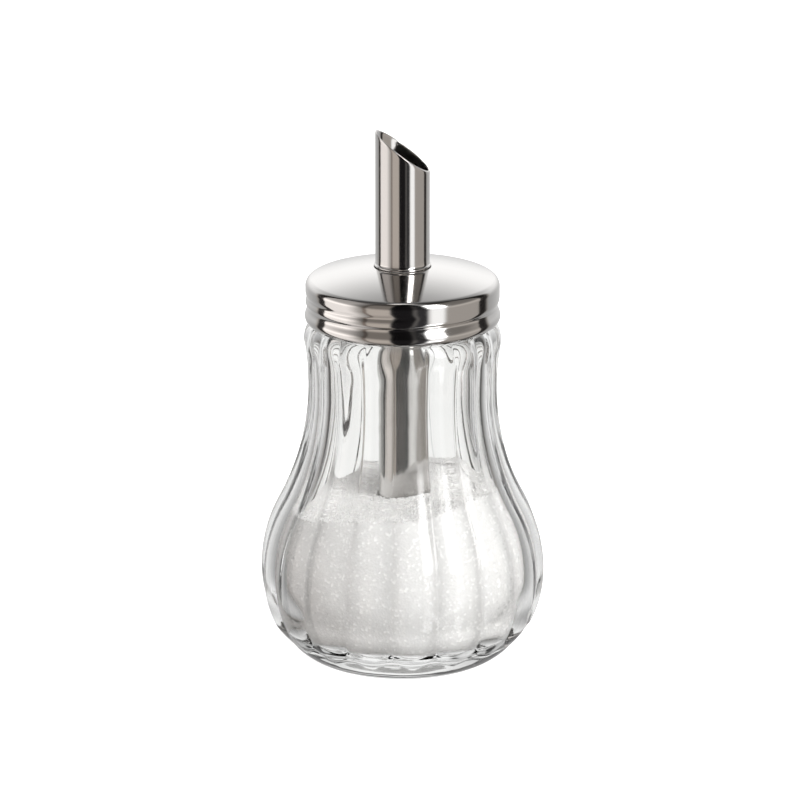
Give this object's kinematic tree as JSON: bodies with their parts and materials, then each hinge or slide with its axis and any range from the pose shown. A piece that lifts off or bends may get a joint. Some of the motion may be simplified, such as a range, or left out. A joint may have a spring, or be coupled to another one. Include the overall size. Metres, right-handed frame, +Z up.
{
  "type": "sugar dispenser",
  "caption": "Pear-shaped lobed glass jar of sugar with a domed steel screw lid and a slant-cut pouring tube.",
  "frame": {"origin": "centre of the foot, on the surface that the jar stands on", "axes": "+Z up along the jar's axis, +X the way the tube's slanted mouth faces, -Y the side that the picture shows"},
  "size_m": [0.0756, 0.0756, 0.1448],
  "materials": {
    "jar_glass": "gloss",
    "sugar": "matte",
    "seal": "satin",
    "inner_steel": "satin",
    "lid_steel": "polished",
    "tube_steel": "polished"
  },
  "bodies": {
    "jar": {"jar": "jar_glass", "sugar": "sugar"},
    "seal": {"seal_ring": "seal"},
    "ring": {"retaining_ring": "inner_steel"},
    "lid": {"lid_shell": "lid_steel", "pouring_tube": "tube_steel"}
  },
  "joints": [
    {"name": "lid_lift", "type": "slide", "parent": "jar", "child": "seal", "axis": [0, 0, 1], "range_m": [0, 0.09]},
    {"name": "lid_rise", "type": "slide", "parent": "seal", "child": "ring", "axis": [0, 0, 1], "range_m": [0, 0.004]},
    {"name": "lid_turn", "type": "hinge", "parent": "ring", "child": "lid", "pos_m": [0, 0, 0.1], "axis": [0, 0, 1], "range_deg": [0, 450]}
  ],
  "couplings": [
    {"joint": "lid_rise", "follows": "lid_turn", "m_per_rad": 0.0005093}
  ]
}
